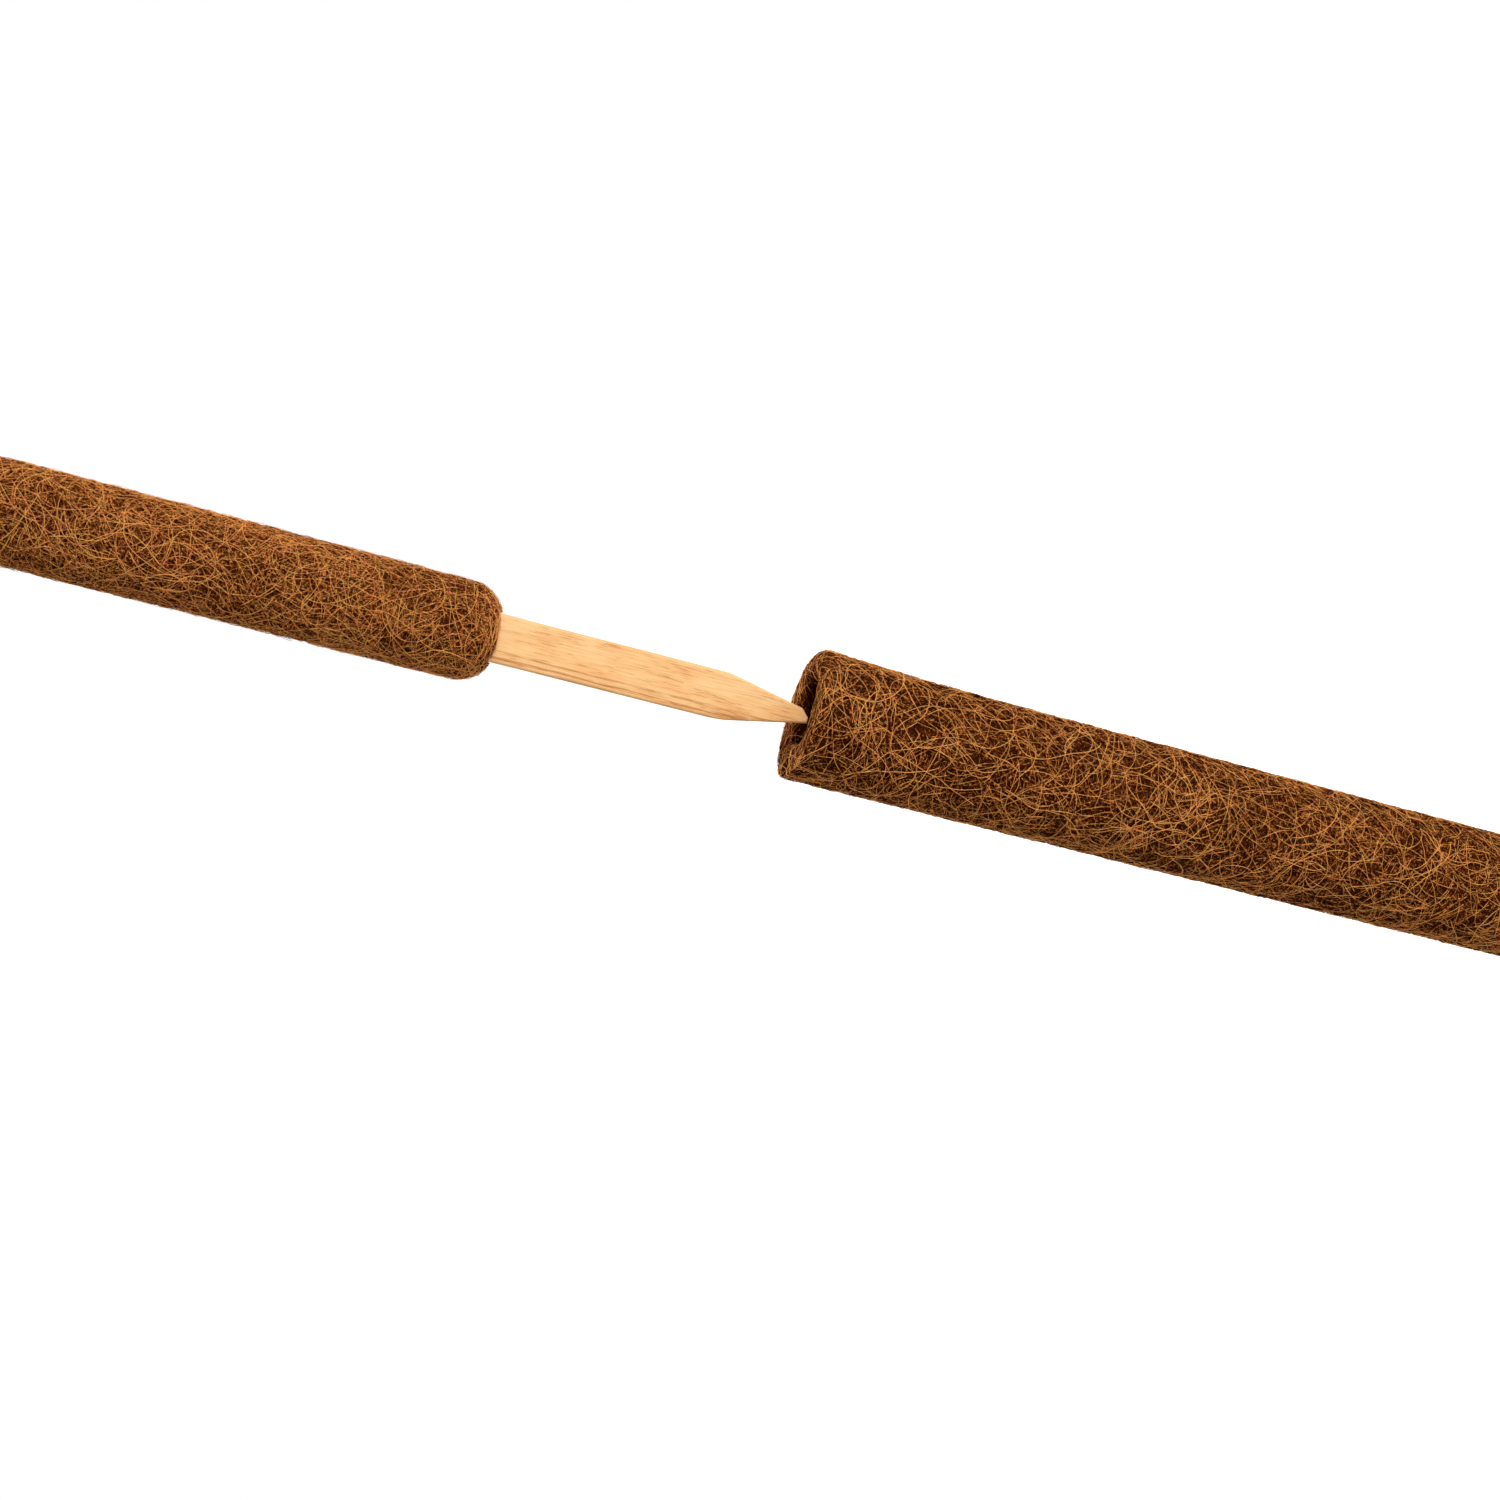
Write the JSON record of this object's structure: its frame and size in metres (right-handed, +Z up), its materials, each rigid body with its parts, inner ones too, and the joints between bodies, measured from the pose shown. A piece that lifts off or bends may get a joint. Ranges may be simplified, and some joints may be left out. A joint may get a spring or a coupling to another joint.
{
  "type": "moss pole",
  "caption": "Stackable plant support pole of coir mat wrapped on wooden stakes: the upper section's pointed stake plugs into the slotted socket on top of the lower section.",
  "frame": {"origin": "on the pole's axis at the soil line, the underside of the lower section's coir", "axes": "+Z up along the pole, -Y towards the front of the stakes' wide faces, +Y towards the seam at the back"},
  "size_m": [0.04, 0.04, 0.7888],
  "materials": {
    "coir": "rough brown coconut fibre mat",
    "wood": "bare sawn pale hardwood",
    "steel": "plain galvanised wire"
  },
  "bodies": {
    "lower_section": {"lower_stake": "wood", "lower_core_mat": "coir", "lower_cover_mat": "coir", "lower_staple_bottom": "steel", "lower_staple_top": "steel"},
    "upper_section": {"upper_stake": "wood", "upper_core_mat": "coir", "upper_cover_mat": "coir", "upper_staple_bottom": "steel", "upper_staple_top": "steel"}
  },
  "joints": [
    {"name": "stake_in_socket", "type": "slide", "parent": "lower_section", "child": "upper_section", "axis": [0, 0, 1], "range_m": [-0.0941, 0.01]}
  ]
}
